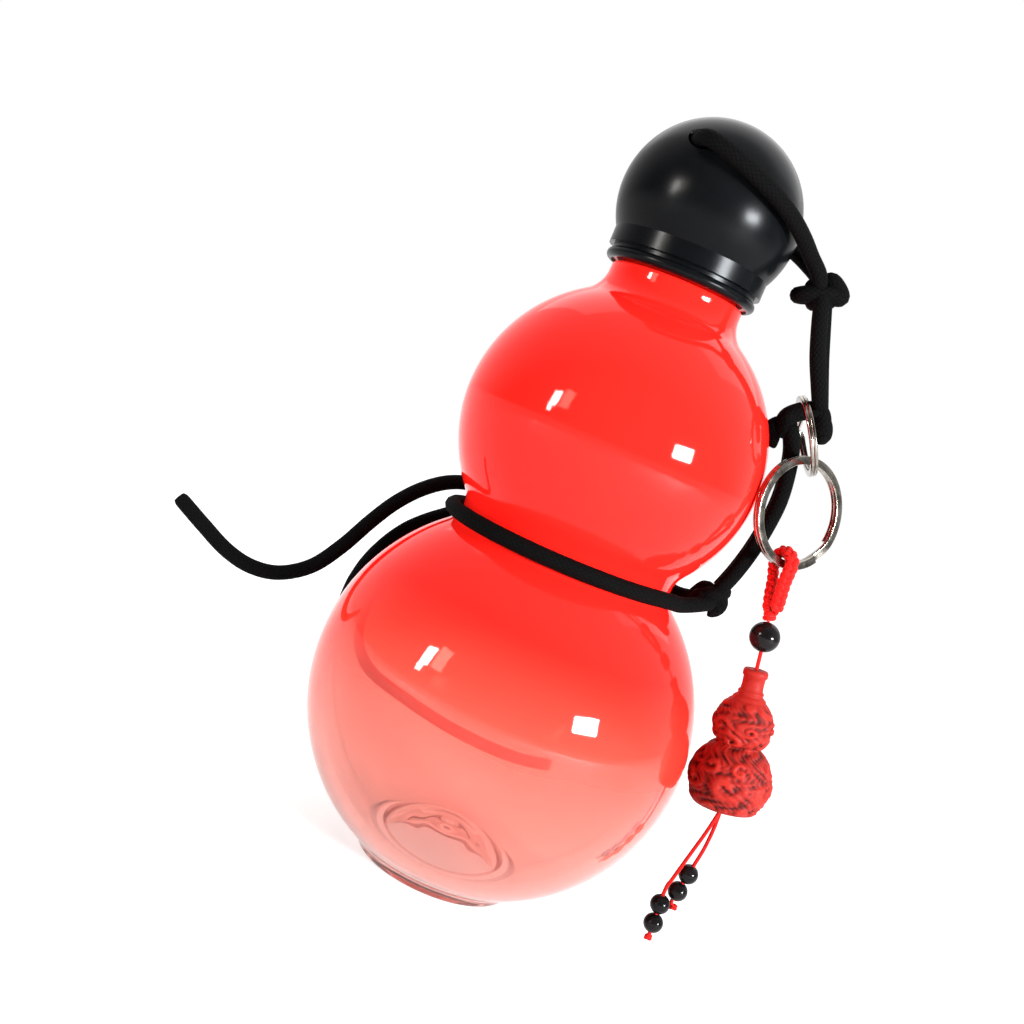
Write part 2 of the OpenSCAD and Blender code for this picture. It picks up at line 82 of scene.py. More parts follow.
# Radii of the black cord and of the loop that it lays round the waist, in millimetres
BLACK_CORD_R = 2.0
WAIST_CORD_R, WAIST_CORD_Z = 30.68, 88.6
# Where the waist loop begins at the right and ends at the rear knot, in degrees
WAIST_LEAVE, WAIST_FRONT_END, WAIST_REAR_END = 40, -225, 125
# Gap between the rear tail and the lower bulb
TAIL_GAP = 0.6
# Radius of the red strings, in metres
STRING_R = 0.0005
# Spacing of the points along cords, knots and wound strings, in metres
CORD_STEP, KNOT_STEP, WOUND_STEP = 0.0008, 0.0005, 0.0003

# Charm, in millimetres: depth of the carving, the heights between which it lies, the radius
# within which nothing is carved, and the height of the waist
CARVE_DEPTH, CARVE_LOW, CARVE_HIGH, STEM_R, CHARM_WAIST = 0.85, 0.6, 28, 4.3, 16.6
# Relief of plain lacquer, where 0 is a deep cut and 1 the top of a scroll
PLAIN_RELIEF = 0.6

# The camera's right, ahead and up; the knots' turns are laid out along them too
RIGHT, AHEAD, UP = ((0.91881, 0.08363, 0.38575), (-0.05186, 0.9944, -0.09207),
                    (-0.39129, 0.06459, 0.918))
CAMERA_PLACE, CAMERA_LENS, CAMERA_SENSOR = (0, -0.31036, 0.12095), 43.44, 36

# Two windows, the left one in three leaves, and a soft light from above, behind:
# name, direction, distance, width, height, power, colour
LIGHTS = (
    ("window left", (-0.765, -0.62, 0.19), 1.1, 0.07, 0.26, 5.0, (1, 0.98, 0.95)),
    ("window left inner", (-0.725, -0.65, 0.235), 1.1, 0.05, 0.20, 3.0, (1, 0.97, 0.92)),
    ("window left leaf", (-0.645, -0.73, 0.27), 1.1, 0.14, 0.24, 1.2, (1, 0.88, 0.7)),
    ("window right", (0.755, -0.615, 0.20), 1.1, 0.29, 0.16, 34.0, (0.92, 0.96, 1)),
    ("soft top", (0.05, 0.62, 0.78), 1.6, 2.4, 1.4, 10.0, (1, 1, 1)))
LIGHT_TARGET = (0, 0, 0.09)

# Sky: how its brightness grows towards the back and upwards, then the ramp that it runs on
SKY_BACK, SKY_UP, SKY_LEVEL = 0.42, 0.38, 0.45
SKY_RAMP = ((0.10, 0.06), (0.48, 0.20), (0.66, 0.75), (0.85, 1.04))

# The cords' routes, in millimetres, near the solids' own
CAP_ROUTE = [(32.4, 0.4, 171.6), (31.0, 3.2, 175.0), (27.6, 7.2, 177.8), (23.6, 12.2, 180.4),
             (18.6, 17.2, 182.2), (12.6, 21.3, 184.1), (6, 23.8, 186.3), (-0.4, 24.4, 188.4),
             (-5.2, 23.4, 189.9), (-7.7, 20.4, 190.6), (-8.8, 15, 190.7), (-9.8, 10.4, 190.7),
             (-11.9, 5.4, 190.8), (-12.6, 0, 190.8), (-11.9, -5.4, 190.8), (-9.8, -10.4, 190.7),
             (-8.8, -15, 190.7), (-7.7, -20.4, 190.6), (-5.2, -23.4, 189.9),
             (-0.4, -24.4, 188.4), (6, -23.8, 186.3), (12.6, -21.3, 184.1),
             (18.2, -17.2, 181.9), (22.6, -12.2, 179.7), (26.4, -7.6, 177.2),
             (30, -5.4, 174.4), (31.8, -3.2, 171.4)]
UPPER_FRONT = [(33, -4.2, 170), (35.2, -4.8, 163), (37.8, -5.2, 156), (41, -5.2, 149.5),
               (43.4, -5.2, 144.8)]
UPPER_REAR = [(34.4, 0, 170), (36.9, -0.6, 163), (39.5, -0.9, 156), (42.2, -1, 149.5),
              (44.2, -1, 144.8)]
LOWER_FRONT = [(38.6, -3.9, 138.6), (41.1, -3.8, 133.6), (42.7, -2.8, 128), (43.7, -2.2, 121),
               (43.4, -2.1, 114), (42.4, -2.4, 107), (40.8, -2.9, 100.5), (38.9, -3.1, 95)]
LOWER_REAR = [(39, 0.3, 138.6), (41.5, 0.5, 133.6), (43, 1.5, 128), (43.9, 2.1, 121),
              (43.6, 2.2, 114), (42.6, 1.9, 107), (41, 1.4, 100.5), (39.2, 1.2, 95)]
TAIL_LEFT = [(-24.2, 25, 91), (-30, 25.4, 92.6), (-36, 22, 91), (-41.5, 17, 87),
             (-46, 11.5, 81.5), (-49.5, 6.5, 75), (-53.5, 3, 66.5), (-58.5, 1, 59),
             (-65.5, 0, 54.2), (-73, 0, 52.8), (-80.5, 0, 54.2), (-88.5, 0, 57.8), (-97, 0, 62)]
TAIL_REAR = [(-18.4, 28.2, 87), (-21.4, 30.4, 85.6), (-25.2, 30.9, 85.1), (-29, 29.2, 84.5),
             (-32.6, 26.2, 83), (-35.6, 22.7, 80.9), (-38.3, 19.3, 78.6), (-40.8, 16.6, 76),
             (-43, 14.4, 72.9), (-45, 13.2, 69.2), (-46.8, 13, 65), (-48.2, 13.4, 60),
             (-49, 14.6, 54), (-48.5, 17, 44.5), (-45.3, 22.3, 37), (-40, 28.4, 31.5),
             (-33, 34.2, 28), (-25, 38.9, 25), (-16, 42.4, 22.3), (-6.5, 44.3, 20.8),
             (3.5, 44.6, 20.4), (13, 43.2, 21.4), (22, 40.7, 24)]
# The tassel's strings, from the charm's base
LONG_STRING = [(-0.2, -0.9, 1), (-1.2, -0.9, -6), (-2.8, -0.9, -14), (-4.2, -0.9, -21),
               (-4.8, -0.9, -25), (-3.9, -0.9, -37.4)]
SHORT_STRING = [(-0.2, 0.9, 1), (0.3, 0.9, -5), (0.2, 0.9, -11), (-0.4, 0.9, -16),
                (-1.9, 0.9, -26.9), (-0.9, 0.9, -28.4)]
# The thick inner length of each knot
KNOT_UPPER = [(27.2, -2.4, 168.4), (32.4, -3.2, 170.6), (37.3, -2.4, 171.8),
              (33.6, -2, 174.6), (32.8, 0.8, 170.4)]
KNOT_REAR = [(-24.6, 23.4, 91.6), (-21.2, 25.3, 89.4), (-17.6, 28, 87.4)]
KNOT_LOWER = [(34.6, -4.6, 90.6), (38.2, -2.6, 93.2), (40.2, -2, 90.6), (36.4, 1.6, 93.4),
              (34.4, 4.8, 89.8)]


# ---------------------------------------------------------------- settings
class BottleSettings(bpy.types.PropertyGroup):
    """Sizes and colours of the bottle"""
    lacquer: bpy.props.FloatVectorProperty(
        name="Lacquer", description="Colour of the red lacquer", subtype="COLOR",
        default=(0.93, 0.012, 0.008), min=0, max=1)
    fade_top: bpy.props.FloatProperty(
        name="Fade Top", description="Height where the lacquer starts to thin out",
        default=0.074, unit="LENGTH")
    fade_bottom: bpy.props.FloatProperty(
        name="Fade Bottom", description="Height where the lacquer has thinned out",
        default=0.004, unit="LENGTH")


class CordSettings(bpy.types.PropertyGroup):
    """Sizes and colours of the cords"""
    cord_colour: bpy.props.FloatVectorProperty(
        name="Cord", description="Colour of the black braided cord", subtype="COLOR",
        default=(0.0020, 0.0020, 0.0020), min=0, max=1)
    red_colour: bpy.props.FloatVectorProperty(
        name="Red Cord", description="Colour of the red cord and strings", subtype="COLOR",
        default=(0.62, 0.010, 0.008), min=0, max=1)
    charm_colour: bpy.props.FloatVectorProperty(
        name="Charm", description="Colour of the carved charm", subtype="COLOR",
        default=(0.22, 0.007, 0.004), min=0, max=1)
    braid_height: bpy.props.FloatProperty(
        name="Braid Height", description="Height of the braid on the black cord",
        default=0.00012, unit="LENGTH")


class StageSettings(bpy.types.PropertyGroup):
    """Light and floor"""
    floor_colour: bpy.props.FloatVectorProperty(
        name="Floor", description="Colour of the floor", subtype="COLOR",
        default=(0.55, 0.55, 0.55), min=0, max=1)
    sky_strength: bpy.props.FloatProperty(
        name="Sky", description="Strength of the light from all round", default=1.0, min=0)


def settings(name):
    return getattr(bpy.context.scene, name)


# ---------------------------------------------------------------- small helpers
def mm(points):
    return [tuple(MM * c for c in p) for p in points]


def deselect():
    if bpy.context.object and bpy.context.object.mode != "OBJECT":
        bpy.ops.object.mode_set(mode="OBJECT")
    bpy.ops.object.select_all(action="DESELECT")


def select(obj):
    deselect()
    obj.select_set(True)
    bpy.context.view_layer.objects.active = obj


def dress(obj, material):
    """Gives an object one material in place of its own."""
    obj.data.materials.clear()
    obj.data.materials.append(material)


def finish_piece(obj, name, body, nodes, material, smooth=True):
    """Names a piece, puts its place into its mesh, and hands it to its body."""
    select(obj)
    bpy.ops.object.transform_apply(location=True, rotation=True, scale=True)
    obj.name = name
    obj.data.name = name
    if smooth:
        bpy.ops.object.shade_smooth()
    if material:
        dress(obj, material)
    if body:
        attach(obj, body)
    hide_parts(*nodes)


def outline_mesh(name, points):
    """An object from points, joined one after the other."""
    mesh = bpy.data.meshes.new(name)
    mesh.from_pydata(points, [(i, i + 1) for i in range(len(points) - 1)], ())
    obj = bpy.data.objects.new(name, mesh)
    bpy.context.collection.objects.link(obj)
    return obj


def close_up(obj, merge):
    """Merges points that lie within a distance and turns the faces outwards."""
    select(obj)
    bpy.ops.object.mode_set(mode="EDIT")
    bpy.ops.mesh.select_all(action="SELECT")
    bpy.ops.mesh.remove_doubles(threshold=merge)
    bpy.ops.mesh.normals_make_consistent(inside=False)
    bpy.ops.object.mode_set(mode="OBJECT")


def lathe(name, profile, steps):
    """Turns a profile of (radius, height) pairs in millimetres round the Z axis."""
    obj = outline_mesh(name, [(r * MM, 0, z * MM) for r, z in profile])
    select(obj)
    bpy.ops.object.mode_set(mode="EDIT")
    bpy.ops.mesh.select_all(action="SELECT")
    bpy.ops.mesh.spin(steps=steps, angle=math.tau, center=(0, 0, 0), axis=(0, 0, 1))
    bpy.ops.object.mode_set(mode="OBJECT")
    close_up(obj, 1e-7)
    return obj


def arc(cx, cz, r, a0, a1, n):
    """Points of an arc round a centre, from one angle to the other in n steps."""
    return [(cx + r * math.cos(math.radians(a0 + (a1 - a0) * i / n)),
             cz + r * math.sin(math.radians(a0 + (a1 - a0) * i / n))) for i in range(n + 1)]


def flowing(points, step):
    """A smooth line through the points, with a point about every step."""
    p = [np.array(q, float) for q in points]
    p = [2 * p[0] - p[1]] + p + [2 * p[-1] - p[-2]]
    out = []
    for i in range(1, len(p) - 2):
        a, b, c, d = p[i - 1:i + 3]
        n = max(2, int(np.linalg.norm(c - b) / step))
        for k in range(n):
            t = k / n
            out.append(0.5 * (2 * b + (c - a) * t + (2 * a - 5 * b + 4 * c - d) * t * t
                              + (3 * b - a - 3 * c + d) * t ** 3))
    out.append(p[-2])
    return out


def bend_frames(line):
    """Directions along a line, and side vectors that turn with it as little as they can."""
    line = np.array(line, float)
    t = np.gradient(line, axis=0)
    t /= np.linalg.norm(t, axis=1)[:, None]
    s = np.cross(t[0], (0, 0, 1) if abs(t[0][2]) < 0.9 else (0, 1, 0))
    s /= np.linalg.norm(s)
    side = []
    for d in t:
        s = s - (s @ d) * d
        s /= np.linalg.norm(s)
        side.append(s)
    return line, t, np.array(side)


def tube(name, points, radius, step=CORD_STEP, sides=3, ends=True, smooth=True):
    """A round cord along the points, in metres, with a woven coordinate on its surface."""
    line = flowing(points, step) if smooth else [np.array(p, float) for p in points]
    deselect()
    bpy.ops.curve.primitive_nurbs_path_add()
    obj = bpy.context.object
    curve = obj.data
    curve.splines.clear()
    spline = curve.splines.new("POLY")
    spline.points.add(len(line) - 1)
    for i, (point, place) in enumerate(zip(spline.points, line)):
        point.co = (*place, 1)
        # The bare ends are rounded off a little
        edge = min(i, len(line) - 1 - i) * step / radius
        if ends and edge < 1:
            point.radius = 0.80 + 0.20 * math.sqrt(1 - (1 - edge) ** 2)
    curve.dimensions = "3D"
    curve.twist_mode = "MINIMUM"
    curve.bevel_depth = radius
    curve.bevel_resolution = sides
    curve.use_fill_caps = True
    bpy.ops.object.convert(target="MESH")
    obj = bpy.context.object
    obj.name = name
    weave(obj, line)
    return obj, [tuple(map(float, p)) for p in line]


def run_along(line):
    """Distance from the start of a line to each of its points."""
    return np.concatenate([[0], np.cumsum(np.linalg.norm(np.diff(line, axis=0), axis=1))])


def weave(obj, line):
    """Stores the place along a line and the direction round it, for the braid's pattern."""
    line, along, side = bend_frames(line)
    run = run_along(line)
    co = np.array([v.co for v in obj.data.vertices], float)
    nearest = np.array([int(np.argmin(((line - c) ** 2).sum(axis=1))) for c in co])
    d = co - line[nearest]
    up = np.cross(along, side)
    x = (d * side[nearest]).sum(axis=1)
    y = (d * up[nearest]).sum(axis=1)
    r = np.maximum(np.hypot(x, y), 1e-9)
    s = run[nearest] + (d * along[nearest]).sum(axis=1)
    data = np.stack([s, x / r, y / r], axis=1).astype(np.float32)
    layer = obj.data.attributes.new("weave", "FLOAT_VECTOR", "POINT")
    layer.data.foreach_set("vector", data.ravel())


def join(objects, name):
    deselect()
    for o in objects:
        o.select_set(True)
    bpy.context.view_layer.objects.active = objects[0]
    bpy.ops.object.join()
    obj = bpy.context.object
    obj.name = name
    return obj


# ---------------------------------------------------------------- materials
class Finish:
    """A node material with its surface shader."""

    def __init__(self, name):
        self.mat = bpy.data.materials.new(name)
        self.mat.use_nodes = True
        self.tree = self.mat.node_tree
        self.tree.nodes.clear()
        self.out = self.add("ShaderNodeOutputMaterial")

    def add(self, kind, **values):
        node = self.tree.nodes.new(kind)
        for key, value in values.items():
            setattr(node, key, value)
        return node

    def link(self, a, b):
        self.tree.links.new(a, b)

    def shader(self, **values):
        node = self.add("ShaderNodeBsdfPrincipled")
        for key, value in values.items():
            self.put(node.inputs[key.replace("_", " ")], value)
        return node

    def put(self, socket, value):
        """Links a socket to another one, or sets its value."""
        if hasattr(value, "node"):
            self.link(value, socket)
        elif socket.type == "RGBA":
            socket.default_value = (*value, 1)
        else:
            socket.default_value = value

    def math(self, operation, a, b=None, clamp=False):
        node = self.add("ShaderNodeMath", operation=operation, use_clamp=clamp)
        self.put(node.inputs[0], a)
        if b is not None:
            self.put(node.inputs[1], b)
        return node.outputs[0]

    def place(self):
        """The object's own coordinate, so that patterns travel with the piece."""
        return self.add("ShaderNodeTexCoord").outputs["Object"]

    def noise(self, scale, detail=3.0, rough=0.5):
        node = self.add("ShaderNodeTexNoise")
        node.inputs["Scale"].default_value = scale
        node.inputs["Detail"].default_value = detail
        node.inputs["Roughness"].default_value = rough
        self.link(self.place(), node.inputs["Vector"])
        return node.outputs["Fac"]

    def ramp(self, value, stops, interpolation="LINEAR"):
        node = self.add("ShaderNodeValToRGB")
        ramp = node.color_ramp
        ramp.interpolation = interpolation
        while len(ramp.elements) < len(stops):
            ramp.elements.new(0.5)
        for element, (at, colour) in zip(ramp.elements, stops):
            element.position = at
            element.color = (*colour, 1)
        self.link(value, node.inputs[0])
        return node.outputs["Color"]

    def bump(self, height, distance, strength):
        node = self.add("ShaderNodeBump")
        node.inputs["Strength"].default_value = strength
        node.inputs["Distance"].default_value = distance
        self.link(height, node.inputs["Height"])
        return node.outputs["Normal"]

    def done(self, shader):
        self.link(shader.outputs[0], self.out.inputs["Surface"])
        return self.mat


def lacquer_finish():
    """Red lacquer on glass, thick at the top and thinned out to clear glass at the foot."""
    f = Finish("red lacquer on glass")
    b = settings("bottle_look")
    split = f.add("ShaderNodeSeparateXYZ")
    f.link(f.place(), split.inputs[0])
    cloud = f.noise(18, 2)
    height = f.math("ADD", split.outputs["Z"],
                    f.math("MULTIPLY", f.math("SUBTRACT", cloud, 0.5), 0.010))
    level = f.math("DIVIDE", f.math("SUBTRACT", height, b.fade_bottom),
                   b.fade_top - b.fade_bottom, clamp=True)
    cover = f.ramp(level, [(0.0, (0.16,) * 3), (0.25, (0.20,) * 3), (0.50, (0.27,) * 3),
                           (0.80, (0.72,) * 3), (1.0, (0.985,) * 3)], "EASE")
    tint = f.ramp(level, [(0.0, (0.83, 0.35, 0.28)), (0.35, (0.89, 0.29, 0.23)),
                          (0.7, (0.93, 0.12, 0.08)), (1.0, (0.90, 0.03, 0.02))])
    body = f.ramp(level, [(0.0, (0.50, 0.10, 0.075)), (0.35, (0.60, 0.10, 0.07)),
                          (0.7, (0.88, 0.04, 0.025)), (0.95, tuple(b.lacquer))])
    fine = f.bump(f.noise(60, 1), 0.0001, 0.25)
    clear = f.shader(Base_Color=tint, Roughness=0.02, IOR=1.45, Transmission_Weight=1.0,
                     Normal=fine)
    coat = f.shader(Base_Color=body, Roughness=0.05, IOR=1.25, Normal=fine)
    mix = f.add("ShaderNodeMixShader")
    f.link(cover, mix.inputs[0])
    f.link(clear.outputs[0], mix.inputs[1])
    f.link(coat.outputs[0], mix.inputs[2])
    return f.done(mix)


def clear_glass_finish():
    f = Finish("clear glass")
    fine = f.bump(f.noise(50, 1), 0.0001, 0.2)
    return f.done(f.shader(Base_Color=(0.99, 0.96, 0.95), Roughness=0.015, IOR=1.5,
                           Transmission_Weight=1.0, Normal=fine))


def black_cap_finish():
    f = Finish("black moulded plastic")
    cloud = f.noise(70, 4, 0.6)
    rough = f.math("ADD", 0.20, f.math("MULTIPLY", cloud, 0.08))
    fine = f.bump(f.noise(1800, 2), 0.00002, 0.25)
    shade = f.ramp(cloud, [(0.3, (0.0018, 0.0022, 0.0026)), (0.7, (0.0032, 0.0036, 0.004))])
    return f.done(f.shader(Base_Color=shade, Roughness=rough, IOR=1.16, Normal=fine))


def plain_plastic_finish(name, colour, rough):
    f = Finish(name)
    fine = f.bump(f.noise(1500, 2), 0.00003, 0.3)
    cloud = f.noise(40, 2)
    low = tuple(0.9 * c for c in colour)
    return f.done(f.shader(Base_Color=f.ramp(cloud, [(0.3, low), (0.7, tuple(colour))]),
                           Roughness=rough, IOR=1.48, Normal=fine))


def braid_height(f, strands, pitch):
    """Height of a braid of crossing strands, from the woven coordinate."""
    split = f.add("ShaderNodeSeparateXYZ")
    f.link(f.add("ShaderNodeAttribute", attribute_name="weave").outputs["Vector"],
           split.inputs[0])
    angle = f.math("ARCTAN2", split.outputs["Z"], split.outputs["Y"])
    run = f.math("MULTIPLY", split.outputs["X"], math.tau / pitch)
    around = f.math("MULTIPLY", angle, float(strands))
    one = f.math("SINE", f.math("ADD", around, run))
    two = f.math("SINE", f.math("SUBTRACT", around, run))
    over = f.math("MULTIPLY", one, two)
    ridge = f.math("POWER", f.math("ABSOLUTE", over), 0.5)
    # The yarns of a strand run slantwise across it
    slant = f.math("ADD", around, f.math("MULTIPLY", run, 0.5))
    yarn = f.math("SINE", f.math("MULTIPLY", slant, 5.0))
    return f.math("ADD", ridge, f.math("MULTIPLY", yarn, 0.12))


def cord_finish(name, colour, strands=5, pitch=0.0030, height=0.00012, rough=0.85, sheen=0.0):
    f = Finish(name)
    h = braid_height(f, strands, pitch)
    # Painted shade: the braid's colour is darker where it is low, in the grooves between its strands and yarns
    dark = tuple(0.35 * c for c in colour)
    shade = f.ramp(h, [(0.05, dark), (0.6, tuple(colour))])
    return f.done(f.shader(Base_Color=shade, Roughness=rough, Sheen_Weight=sheen,
                           Sheen_Roughness=0.45, IOR=1.12,
                           Normal=f.bump(h, height, 0.9)))


def nickel_finish():
    f = Finish("nickel plate")
    streak = f.noise(420, 3, 0.6)
    shade = f.ramp(streak, [(0.3, (0.17, 0.15, 0.125)), (0.7, (0.38, 0.35, 0.31))])
    rough = f.math("ADD", 0.10, f.math("MULTIPLY", streak, 0.14))
    return f.done(f.shader(Base_Color=shade, Metallic=1.0, Roughness=rough,
                           Normal=f.bump(streak, 0.00003, 0.3)))


def bead_finish():
    f = Finish("polished black stone")
    cloud = f.noise(300, 3)
    shade = f.ramp(cloud, [(0.35, (0.003, 0.003, 0.003)), (0.75, (0.009, 0.007, 0.007))])
    return f.done(f.shader(Base_Color=shade, Roughness=0.12, IOR=1.22))


def charm_finish(colour):
    """Carved red lacquer, darkened where its mesh's relief is deep as painted shade, lightened on the scroll tops
    as painted highlight.
    """
    f = Finish("carved red lacquer")
    cut = f.add("ShaderNodeAttribute", attribute_name="relief").outputs["Fac"]
    grain = f.noise(900, 3)
    # Painted shade in the deep cuts, and painted highlight on the tops of the scrolls
    deep = tuple(0.22 * c for c in colour)
    bright = (min(1, 1.4 * colour[0]), 1.9 * colour[1], 1.9 * colour[2])
    shade = f.ramp(f.math("ADD", cut, f.math("MULTIPLY", f.math("SUBTRACT", grain, 0.5), 0.15)),
                   [(0.05, deep), (0.45, tuple(colour)), (0.95, bright)])
    return f.done(f.shader(Base_Color=shade, Roughness=0.6, IOR=1.25,
                           Normal=f.bump(grain, 0.00008, 0.4)))


def floor_finish(colour):
    f = Finish("pale floor")
    cloud = f.noise(3, 2)
    low = tuple(0.985 * c for c in colour)
    return f.done(f.shader(Base_Color=f.ramp(cloud, [(0.3, low), (0.7, tuple(colour))]),
                           Roughness=0.8, Specular_IOR_Level=0.2,
                           Emission_Color=(1, 1, 1), Emission_Strength=0.62))


# ---------------------------------------------------------------- pieces
def glass_profile():
    """Outside from the middle of the hollow foot to the mouth, then the inside back down,
    as pairs of radius and height in millimetres."""
    dome = (PUNT_R ** 2 + PUNT_H ** 2) / (2 * PUNT_H)
    dome_z = PUNT_H - dome
    outside = []
    for i in range(41):
        r = PUNT_R * i / 40
        ripple = PUNT_RIPPLE * math.cos(r * math.tau / PUNT_WAVE) * min(1, (PUNT_R - r) / 2)
        outside.append((r, dome_z + math.sqrt(dome * dome - r * r) + ripple))
    outside[-1] = (PUNT_R, 0.05)
    # The ring that the bottle stands on
    outside += [(PUNT_R + 0.3, 0), (17.4, 0), (18.6, 0), (19.8, 0), (20.4, 0.2), (20.9, 0.6),
                (21.3, 1.4), (21.8, 2.3)]
    start = math.degrees(math.asin((3.2 - LOWER_Z) / LOWER_R))
    low = math.degrees(math.atan2(WAIST_Z - LOWER_Z, WAIST_C))
    high = math.degrees(math.atan2(WAIST_Z - UPPER_Z, WAIST_C))
    top = math.degrees(math.atan2(SHOULDER_Z - UPPER_Z, SHOULDER_C))
    outside += arc(0, LOWER_Z, LOWER_R, start, low, 60)
    outside += arc(WAIST_C, WAIST_Z, WAIST_R, 180 + low, 180 + high, 14)[1:]
    outside += arc(0, UPPER_Z, UPPER_R, high, top, 48)[1:]
    outside += arc(SHOULDER_C, SHOULDER_Z, SHOULDER_R, 180 + top, 180, 10)[1:]
    outside += arc(NECK_R - 0.8, NECK_TOP - 0.8, 0.8, 0, 90, 5)
    outside += [(FINISH_R + 0.3, NECK_TOP), (FINISH_R, NECK_TOP + 0.3)]
    outside += arc(FINISH_R - 0.8, MOUTH_Z - 0.8, 0.8, 0, 90, 5)
    # The shoulder's wall thickens from the upper bulb to the neck
    inside = arc(MOUTH_R + 0.7, MOUTH_Z - 0.7, 0.7, 90, 180, 5)
    inside += [(MOUTH_R, 168), (MOUTH_R, 160.6), (12.8, 159.4), (13.7, 158.1)]
    for i in range(11):
        a = math.radians(180 + top * i / 10)
        r = 11.2 - 0.8 * i / 10
        inside.append((SHOULDER_C + r * math.cos(a), SHOULDER_Z + r * math.sin(a)))
    inside += arc(0, UPPER_Z, UPPER_R - WALL, top, high, 44)[1:]
    inside += arc(WAIST_C, WAIST_Z, WAIST_R + WALL, 180 + high, 180 + low, 12)[1:]
    inside += arc(0, LOWER_Z, LOWER_R - WALL, low, -61.5, 56)[1:]
    inside += [(21.2, 5.3), (20.2, 5.0), (18.9, 5.1)]
    top_dome = dome + BOTTOM_T
    for i in range(31):
        r = 18.0 * (1 - i / 30)
        inside.append((r, dome_z + math.sqrt(top_dome ** 2 - r * r)
                       + FLOOR_RIPPLE * math.cos(r * math.tau / FLOOR_WAVE)))
    return outside + inside


def is_clear(face):
    """Whether a face of the bottle lies on the inner side, which has no lacquer."""
    c = face.center / MM
    r = math.hypot(c.x, c.y)
    # How far the face lies outside each bulb's sphere
    lower = math.hypot(r, c.z - LOWER_Z) - LOWER_R
    upper = math.hypot(r, c.z - UPPER_Z) - UPPER_R
    inwards = c.x * face.normal.x + c.y * face.normal.y < 0 and c.z > FOOT_HEIGHT
    deep = min(lower, upper) < -1.6 and c.z < SHOULDER_HEIGHT
    floor = lower < -1.2 and c.z < FOOT_HEIGHT
    return inwards or deep or floor


def thread_route():
    """The thread's helix, in metres, which sinks into the finish at both ends."""
    route = []
    for i in range(61):
        t = i / 60
        ease = min(1, t * 8, (1 - t) * 8)
        a = math.tau * THREAD_TURNS * t
        r = FINISH_R - 0.5 + 0.75 * ease
        route.append((r * MM * math.cos(a), r * MM * math.sin(a),
                      (NECK_TOP + THREAD_START + THREAD_PITCH * THREAD_TURNS * t) * MM))
    return route


class MESH_OT_bottle_glass(bpy.types.Operator):
    """Turns the glass body and winds its thread"""
    bl_idname = "mesh.bottle_glass"
    bl_label = "Glass Body"

    def execute(self, context):
        body = lathe("glass", glass_profile(), 160)
        lacquer, clear = lacquer_finish(), clear_glass_finish()
        body.data.materials.append(lacquer)
        body.data.materials.append(clear)
        for face in body.data.polygons:
            face.material_index = int(is_clear(face))
        thread, _ = tube("thread", thread_route(), THREAD_R * MM, 0.001, 2, smooth=False)
        thread.data.materials.append(clear)
        piece = join([body, thread], "bottle_glass")
        finish_piece(piece, "bottle_glass", "bottle", ["glass_body"], None)
        return {"FINISHED"}


class MESH_OT_bottle_cap(bpy.types.Operator):
    """Gives the cap, its liner and its sealing disc their finishes"""
    bl_idname = "mesh.bottle_cap"
    bl_label = "Cap"

    def execute(self, context):
        looks = {
            "cap_shell": black_cap_finish(),
            "cap_liner": plain_plastic_finish("white liner plastic", (0.78, 0.78, 0.76), 0.4),
            "cap_seal": plain_plastic_finish("sealing silicone", (0.85, 0.84, 0.80), 0.55),
        }
        for name, look in looks.items():
            dress(frame["nodes"][name], look)
        return {"FINISHED"}


def bend(centre, axes, sizes, first, last, steps):
    """Part of a turn in the plane of the first two axes that drifts along the third."""
    centre = np.array(centre, float)
    x, y, drift = (np.array(axis) * size for axis, size in zip(axes, sizes))
    out = []
    for i in range(steps + 1):
        t = i / steps
        a = math.radians(first + (last - first) * t)
        out.append(centre + x * math.cos(a) + y * math.sin(a) + drift * (t - 0.5))
    return out


def turn(centre, wide, deep, rise, first, last, radius=2.1):
    """A turn of a knot round the cord: right, behind and upwards, in millimetres."""
    return bend(centre, (RIGHT, AHEAD, UP), (wide, deep, rise), first, last, 24), radius


def hump(centre, wide, tall, depth, first, last, radius=2.0):
    """A bight of a knot that stands up in the plane of the view."""
    return bend(centre, (RIGHT, UP, AHEAD), (wide, tall, depth), first, last, 20), radius


def knot(name, routes, look):
    """A drawn-up knot: short lengths of cord wound over each other."""
    pieces = [tube(name + str(i), mm(route), radius * MM, KNOT_STEP, 4)[0]
              for i, (route, radius) in enumerate(routes)]
    finish_piece(join(pieces, name), name, "strap", [name], look)


def tie_knots(look):
    """Ties the upper, the lower and the rear knot."""
    knot("knot_upper", [(KNOT_UPPER, 2.2),
                        turn((32.4, -1.2, 170.4), 4.9, 2.6, -0.9, 80, 460),
                        turn((33.6, -1.2, 169.3), 2.0, 2.0, 0.4, 130, 400, 1.9),
                        hump((32.9, -1.6, 171.6), 2.9, 2.2, 2.4, 190, -40)], look)
    knot("knot_lower", [(KNOT_LOWER, 2.2),
                        turn((37.6, -1.2, 92.6), 3.1, 3.0, 2.4, 60, 400),
                        hump((38.4, -2.6, 91.4), 2.0, 1.9, 2.0, 120, -110, 2.1)], look)
    knot("knot_rear", [(KNOT_REAR, 2.4),
                       turn((-21.2, 25.3, 89.4), 2.6, 2.6, 2.2, 100, 470, 1.8)], look)


